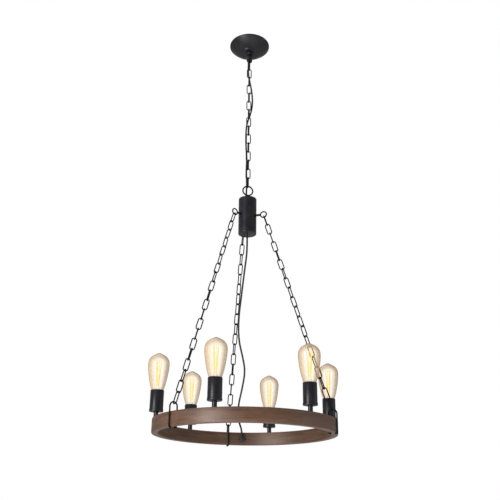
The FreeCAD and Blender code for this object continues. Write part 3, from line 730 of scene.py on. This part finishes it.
MAIN_COUNT, CHAIN_START = 15, -71.05
main_pitch = MAIN_INNER - LINK_PLAY
first_middle = CHAIN_START + LINK_PLAY - MAIN_INNER / 2
hanging = chain_of("hanging_chain_links", main_link, [
    Matrix.Translation((0, 0, (first_middle - i * main_pitch) * MM)) @ Matrix.Rotation(
        math.radians(90 * ((i + 1) % 2)), 4, "Z") for i in range(MAIN_COUNT)])
dress(hanging, chain_black, "chain", "hanging_chain")

# %% Side chains
SIDE_COUNT, EYE_LEVEL, EYE_CIRCLE, RING_CIRCLE = 20, -696.75, 55.5, 265.0
SPAN, SIDE_OFFSET = 691.5, 5.9      # from an eye's middle to its stirrup's, and to the outside of the first link
side_pitch = SIDE_INNER - LINK_PLAY
lean = math.asin((RING_CIRCLE - EYE_CIRCLE) / SPAN)
link_turn = 90 + 90 / (SIDE_COUNT - 1)
CHAIN_ANGLES = (90, 210, 330)


def outward(angle):
    """The level direction at an angle round the lamp."""
    return Vector((math.cos(math.radians(angle)), math.sin(math.radians(angle)), 0))


def on_circle(angle, circle, level):
    """The matrix that puts a piece on a level circle round the lamp, with its X side outwards."""
    return Matrix.Translation((outward(angle) * circle + UP * level) * MM) @ Matrix.Rotation(
        math.radians(angle), 4, "Z")


for number, angle in enumerate(CHAIN_ANGLES, 1):
    down = outward(angle) * math.sin(lean) - UP * math.cos(lean)
    start = outward(angle) * EYE_CIRCLE + UP * EYE_LEVEL + down * SIDE_OFFSET
    tilt = UP.rotation_difference(-down).to_matrix().to_4x4()
    places = []
    for j in range(SIDE_COUNT):
        middle = start + down * ((SIDE_INNER + LINK_WIRE) / 2 + j * side_pitch)
        roll = angle + 90 + j * link_turn
        places.append(Matrix.Translation(middle * MM) @ tilt @ Matrix.Rotation(math.radians(roll), 4, "Z"))
    side = chain_of(f"side_chain_links_{number}", side_link, places)
    dress(side, chain_black, f"side_chain_{number}", f"side_chain_{number}")
remove_piece(main_link)
remove_piece(side_link)
print("side chains lean by", round(math.degrees(lean), 2), "degrees")

# %% [markdown]
# ## Hub
#
# The hub is a steel can: a tube between two pressed caps, with a ring on a waisted stem on top and three eye bolts
# round its side. Tube and caps stay separate pieces, because the fine line where they meet catches the light.

# %% Hub tube and caps
HUB_TOP, HUB_BOTTOM, HUB_RADIUS, HUB_INSIDE, CAP, HUB_SIDES = -633.75, -761.75, 30.0, 28.0, 3.0, 72
SHANK_HOLE = 2.5
shell = turn_piece("hub_tube", [
    (HUB_INSIDE, HUB_BOTTOM + CAP), (29.7, HUB_BOTTOM + CAP), (HUB_RADIUS, HUB_BOTTOM + CAP + 0.3),
    (HUB_RADIUS, HUB_TOP - CAP - 0.3), (29.7, HUB_TOP - CAP), (HUB_INSIDE, HUB_TOP - CAP),
    (HUB_INSIDE, HUB_BOTTOM + CAP)], HUB_SIDES)
for angle in CHAIN_ANGLES:
    toward = UP.rotation_difference(outward(angle)).to_matrix().to_4x4()
    drill_hole(shell, SHANK_HOLE, 10, 40, 16, Matrix.Translation((0, 0, EYE_LEVEL * MM)) @ toward)
dress(shell, satin_black, "hub", "hub_shell")
LIP, NECK, SPIGOT = 27.7, 4.4, 5.0      # the caps' inner lip, the stem's hole, and how deep the lip reaches
top_cap = turn_piece("hub_cap_top", [
    (NECK, HUB_TOP - CAP - SPIGOT), (LIP, HUB_TOP - CAP - SPIGOT), (LIP, HUB_TOP - CAP), (29.8, HUB_TOP - CAP),
    (HUB_RADIUS, HUB_TOP - CAP + 0.3), (HUB_RADIUS, HUB_TOP - 1.3), (29.6, HUB_TOP - 0.4), (28.7, HUB_TOP),
    (NECK, HUB_TOP), (NECK, HUB_TOP - CAP - SPIGOT)], HUB_SIDES)
drill_hole(top_cap, CORD_HOLE, HUB_TOP - 26.25, HUB_TOP + 13.75, HOLE_SIDES, over_cord(UPPER_ROUTE[-1]))
dress(top_cap, satin_black, "hub", "hub_top_cap")
bottom_cap = turn_piece("hub_cap_bottom", [
    (CORD_HOLE, HUB_BOTTOM), (28.7, HUB_BOTTOM), (29.6, HUB_BOTTOM + 0.4), (HUB_RADIUS, HUB_BOTTOM + 1.3),
    (HUB_RADIUS, HUB_BOTTOM + CAP - 0.3), (29.8, HUB_BOTTOM + CAP), (LIP, HUB_BOTTOM + CAP),
    (LIP, HUB_BOTTOM + CAP + SPIGOT), (CORD_HOLE, HUB_BOTTOM + CAP + SPIGOT), (CORD_HOLE, HUB_BOTTOM)], HUB_SIDES)
dress(bottom_cap, satin_black, "hub", "hub_bottom_cap")

# %% Ring and stem on top of the hub
HUB_LOOP_LEVEL, HUB_LOOP_RADIUS, HUB_LOOP_WIRE = -601.25, 17.0, 5.0
deselect()
bpy.ops.mesh.primitive_torus_add(major_segments=40, minor_segments=14, major_radius=HUB_LOOP_RADIUS * MM,
                                 minor_radius=HUB_LOOP_WIRE / 2 * MM, location=(0, 0, HUB_LOOP_LEVEL * MM),
                                 rotation=(math.pi / 2, 0, 0))
bpy.ops.object.mode_set(mode="EDIT")
hub_ring = end_edit("hub_ring_bent", 60)
hub_stem = turn_piece("hub_stem", [
    (4, HUB_TOP - 14), (4, HUB_TOP), (5.3, HUB_TOP), (5.5, HUB_TOP + 0.3), (5.5, HUB_TOP + 2.6),
    (5.1, HUB_TOP + 3.4), (3.6, HUB_TOP + 5.2), (3.0, HUB_TOP + 7.5), (3.0, HUB_TOP + 15)], 28)
join_solids(hub_ring, hub_stem)
dress(hub_ring, chain_black, "hub", "hub_loop")

# %% Eye bolts
EYE_RADIUS, EYE_WIRE, SHANK = 10.25, 4.5, 4.4
deselect()
bpy.ops.mesh.primitive_torus_add(major_segments=32, minor_segments=12, major_radius=EYE_RADIUS * MM,
                                 minor_radius=EYE_WIRE / 2 * MM, rotation=(math.pi / 2, 0, 0))
bpy.ops.object.mode_set(mode="EDIT")
eye = end_edit("eye_ring", 60)
start_wire((22.5 - EYE_CIRCLE, 0, 0), (1, 0, 0), SHANK)
run_wire((30.8 - 22.5, 0, 0))
bpy.ops.transform.resize(value=(1.0, 1.7, 1.7), center_override=((30.8 - EYE_CIRCLE) * MM, 0, 0))
run_wire((1.6, 0, 0))
run_wire((EYE_CIRCLE - EYE_RADIUS - 33.4, 0, 0))
bpy.ops.transform.resize(value=(1.0, 0.82, 1.0), center_override=(-(EYE_RADIUS + 1) * MM, 0, 0))
run_wire((1.0, 0, 0))
bpy.ops.transform.resize(value=(1.0, 0.6, 1.25), center_override=(-EYE_RADIUS * MM, 0, 0))
eye_shank = end_edit("eye_shank")
join_solids(eye, eye_shank)
for number, angle in enumerate(CHAIN_ANGLES, 1):
    forged = copy_piece(eye, f"eye_bolt_forged_{number}", on_circle(angle, EYE_CIRCLE, EYE_LEVEL))
    dress(forged, chain_black, "hub", f"eye_bolt_{number}")
remove_piece(eye)

# %% [markdown]
# ## Ring and stirrups
#
# The wheel is a closed wooden ring, 550 mm across, 20 mm thick and 40 mm high, without spokes. It is turned as a
# tube of rectangular section, with its edges eased by three short rings, as sandpaper would leave them. Three
# black wire stirrups hug it and carry the chains.

# %% Wooden ring
RING_OUT, RING_IN, RING_TOP, RING_LOW, EASE = 275.0, 255.0, -1369.1, -1409.1, 1.4


def eased(radius, level, side, rise, order):
    """Three points round one corner of the ring's section."""
    corner = [(radius - side * EASE, level), (radius - side * EASE * 0.29, level - rise * EASE * 0.29),
              (radius, level - rise * EASE)]
    return corner if order > 0 else corner[::-1]


section = [*eased(RING_OUT, RING_TOP, 1, 1, 1), *eased(RING_OUT, RING_LOW, 1, -1, -1),
           *eased(RING_IN, RING_LOW, -1, -1, 1), *eased(RING_IN, RING_TOP, -1, 1, -1)]
wheel = turn_piece("wooden_ring", section + section[:1], 192)
dress(wheel, ring_wood, "wheel", "ring")

# %% Stirrups
ARCH, ARCH_LEVEL, STIRRUP_WIRE, TOE_LEVEL, TOE, HOOK = 12.45, 13.3, 4.5, -42.45, 7.0, 3.2
leg = ARCH_LEVEL - TOE_LEVEL - HOOK
start_wire((ARCH - TOE, 0, TOE_LEVEL), (1, 0, 0), STIRRUP_WIRE)
run_wire((TOE - HOOK, 0, 0))
bend_wire((ARCH - HOOK, 0, TOE_LEVEL + HOOK), (0, 1, 0), -90, 6)
run_wire((0, 0, leg))
bend_wire((0, 0, ARCH_LEVEL), (0, 1, 0), -180, 18)
run_wire((0, 0, -leg))
bend_wire((-ARCH + HOOK, 0, TOE_LEVEL + HOOK), (0, 1, 0), -90, 6)
run_wire((TOE - HOOK, 0, 0))
stirrup = end_edit("stirrup")
print("stirrup measures", [round(side / MM, 1) for side in stirrup.dimensions])
for number, angle in enumerate(CHAIN_ANGLES, 1):
    bent = copy_piece(stirrup, f"stirrup_bent_{number}", on_circle(angle, RING_CIRCLE, RING_TOP))
    dress(bent, chain_black, "wheel", f"stirrup_{number}")
remove_piece(stirrup)

# %% Cord gland inside the ring
GLAND_ANGLE, GLAND_LEVEL, GLAND_HOLE_INSET = 80, -1389.1, 6.5
gland = turn_piece("gland_knob", [(9, 0), (9, 8.4), (8.6, 10.2), (7.6, 11.7), (6.2, 12.7), (4.5, 13)], 36)
gland_seat = outward(GLAND_ANGLE) * (RING_IN - 0.3) + UP * GLAND_LEVEL
inward = UP.rotation_difference(-outward(GLAND_ANGLE)).to_matrix().to_4x4()
placed_gland = copy_piece(gland, "cord_gland_domed", Matrix.Translation(gland_seat * MM) @ inward)
drill_hole(placed_gland, CORD_HOLE, GLAND_LEVEL - 1, GLAND_LEVEL + 14, HOLE_SIDES,
           Matrix.Translation(outward(GLAND_ANGLE) * (RING_IN - GLAND_HOLE_INSET) * MM))
remove_piece(gland)
dress(placed_gland, black_plastic, "wheel", "cord_gland")

# %% [markdown]
# ## Lamps
#
# Each lamp is a short tube, a deep black cup with a thicker band round its foot, and a plastic lampholder inside it.
# The bulb screws into the holder. Every part is turned once at the origin and copied to six places round the ring.

# %% Stem, cup and lampholder
CUP_FLOOR, CUP_TOP, CUP_RADIUS = 17.0, 79.0, 20.0
stem = turn_piece("stem", [(6.7, 0), (7, 0.3), (7, CUP_FLOOR - 0.3), (6.7, CUP_FLOOR)], 32)
cup = turn_piece("cup", [
    (3.5, CUP_FLOOR), (19.9, CUP_FLOOR), (20.6, CUP_FLOOR + 0.4), (20.8, CUP_FLOOR + 1.2),
    (20.8, CUP_FLOOR + 6.2), (20.6, CUP_FLOOR + 6.8), (CUP_RADIUS, CUP_FLOOR + 7.1),
    (CUP_RADIUS, CUP_TOP - 0.4), (19.7, CUP_TOP), (19.1, CUP_TOP), (18.8, CUP_TOP - 0.4),
    (18.8, CUP_FLOOR + 1.2), (3.5, CUP_FLOOR + 1.2), (3.5, CUP_FLOOR)], 56)
HOLDER_LOW, HOLDER_TOP, BORE, BORE_FLOOR = 18.2, 75.2, 13.9, 50.1
holder = turn_piece("holder", [
    (15.5, HOLDER_LOW), (17.5, HOLDER_LOW + 6), (17.5, HOLDER_TOP - 0.8), (16.9, HOLDER_TOP), (14.6, HOLDER_TOP),
    (BORE, HOLDER_TOP - 0.7), (BORE, BORE_FLOOR)], 40)

# %% Screw cap of a bulb
BULB_FOOT, SHELL_LOW, GLASS_LOW, GLASS_TOP, SHELL_RADIUS = 50.5, 54.5, 75.5, 190.5, 13.2
THREAD_DEPTH, THREAD_PITCH = 0.7, 3.6
thread = []
turns = 4
for k in range(turns * 4 + 1):
    level = SHELL_LOW + 2.2 + THREAD_PITCH * k / 4
    thread.append((SHELL_RADIUS - THREAD_DEPTH * (0.5 - 0.5 * math.cos(math.pi * k / 2)), level))
cap = turn_piece("cap", [(4.2, BULB_FOOT), (4.9, BULB_FOOT + 0.6), (5.2, BULB_FOOT + 1.4), (7.5, SHELL_LOW - 0.6),
                         (10.6, SHELL_LOW), (12.4, SHELL_LOW + 1), *thread, (SHELL_RADIUS - 0.3, GLASS_LOW - 3.2),
                         (SHELL_RADIUS, GLASS_LOW)], 40)

# %% Glass of a bulb
BULB_RADIUS = 32.0
BULB_OUTLINE = [
    (0, 0.40), (0.012, 0.47), (0.04, 0.55), (0.10, 0.635), (0.17, 0.71), (0.26, 0.785), (0.36, 0.86), (0.46, 0.92),
    (0.55, 0.962), (0.63, 0.988), (0.70, 1.0), (0.76, 0.984), (0.81, 0.935), (0.855, 0.85), (0.89, 0.745),
    (0.92, 0.605), (0.945, 0.46), (0.965, 0.325), (0.98, 0.22), (0.99, 0.15), (0.997, 0.10), (1.0, 0.05)]
envelope = turn_piece("envelope", [(BULB_RADIUS * share, GLASS_LOW + (GLASS_TOP - GLASS_LOW) * height)
                                   for height, share in BULB_OUTLINE], 48)
make_active(envelope)
bpy.ops.object.shade_smooth()

# %% [markdown]
# ## Filament
#
# A bulb of this old shape shows a cage of long bright wires round a thin glass rod. A circle of fourteen points is
# the start.
# Every second point is lowered and drawn in, so the circle becomes a zigzag. Turned to a curve it takes a round
# bevel, and back as a mesh it is a wire. The rod and its flared foot are turned like every other round piece.

# %% Zigzag filament
CAGE_TOP, CAGE_LOW, CAGE_RADIUS, CAGE_FOOT, CAGE_POINTS, FILAMENT = 168.0, 92.0, 8.0, 3.6, 14, 0.85
deselect()
bpy.ops.mesh.primitive_circle_add(vertices=CAGE_POINTS, radius=CAGE_RADIUS * MM, location=(0, 0, CAGE_TOP * MM))
edit_where(bpy.context.object, lambda vertex: vertex.index % 2 == 1)
bpy.ops.transform.translate(value=(0, 0, (CAGE_LOW - CAGE_TOP) * MM))
bpy.ops.transform.resize(value=(CAGE_FOOT / CAGE_RADIUS,) * 2 + (1,), center_override=(0, 0, CAGE_LOW * MM))
bpy.ops.object.mode_set(mode="OBJECT")
bpy.ops.object.convert(target="CURVE")
cage = bpy.context.object
cage.data.bevel_depth, cage.data.bevel_resolution = FILAMENT * MM, 1
bpy.ops.object.convert(target="MESH")
bpy.ops.object.mode_set(mode="EDIT")
cage = end_edit("cage", 60)
print("filament cage:", len(cage.data.polygons), "faces")

# %% Glass rod inside the bulb
rod = turn_piece("rod", [(9.5, GLASS_LOW + 0.5), (8.0, 80), (5.4, 86), (3.4, 92), (2.4, 98), (1.5, 103), (1.3, 120),
                         (1.3, 160), (1.9, 164), (2.2, 167), (1.6, 169.5), (0.6, 170.5)], 20)
make_active(rod)
bpy.ops.object.shade_smooth()

# %% Six lamps round the ring
LAMP_COUNT = 6
WHEEL_PARTS = [(stem, "stem_tube", satin_black, "lamp_stem", "satin_black"),
               (cup, "cup_drawn", satin_black, "lamp_cup", "satin_black"),
               (holder, "holder_moulded", black_plastic, "lampholder", "black_plastic")]
BULB_PARTS = [(cap, "screw_cap", cap_metal, "bulb_cap", "cap_metal"),
              (envelope, "glass_envelope", bulb_glass, "bulb_glass", "bulb_glass"),
              (rod, "inner_rod", inner_glass, None, "bulb_glass"),
              (cage, "filament", filament_glow, None, "cap_metal")]
for number in range(1, LAMP_COUNT + 1):
    place = on_circle(360 / LAMP_COUNT * (number - 1), RING_CIRCLE, RING_TOP)
    for body, parts in (("wheel", WHEEL_PARTS), (f"bulb_{number}", BULB_PARTS)):
        for master, name, material, node, slot in parts:
            dress(copy_piece(master, f"{name}_{number}", place), material, body,
                  f"{node}_{number}" if node else None)
for master, *_ in WHEEL_PARTS + BULB_PARTS:
    remove_piece(master)

# %% [markdown]
# ## Measure
#
# The triangles of every mesh that renders are counted.

# %% Sizes
deselect()
triangles = sum(len(p.vertices) - 2 for o in bpy.data.objects if o.type == "MESH" and not o.hide_render
                for p in o.data.polygons)
print("triangles:", triangles)
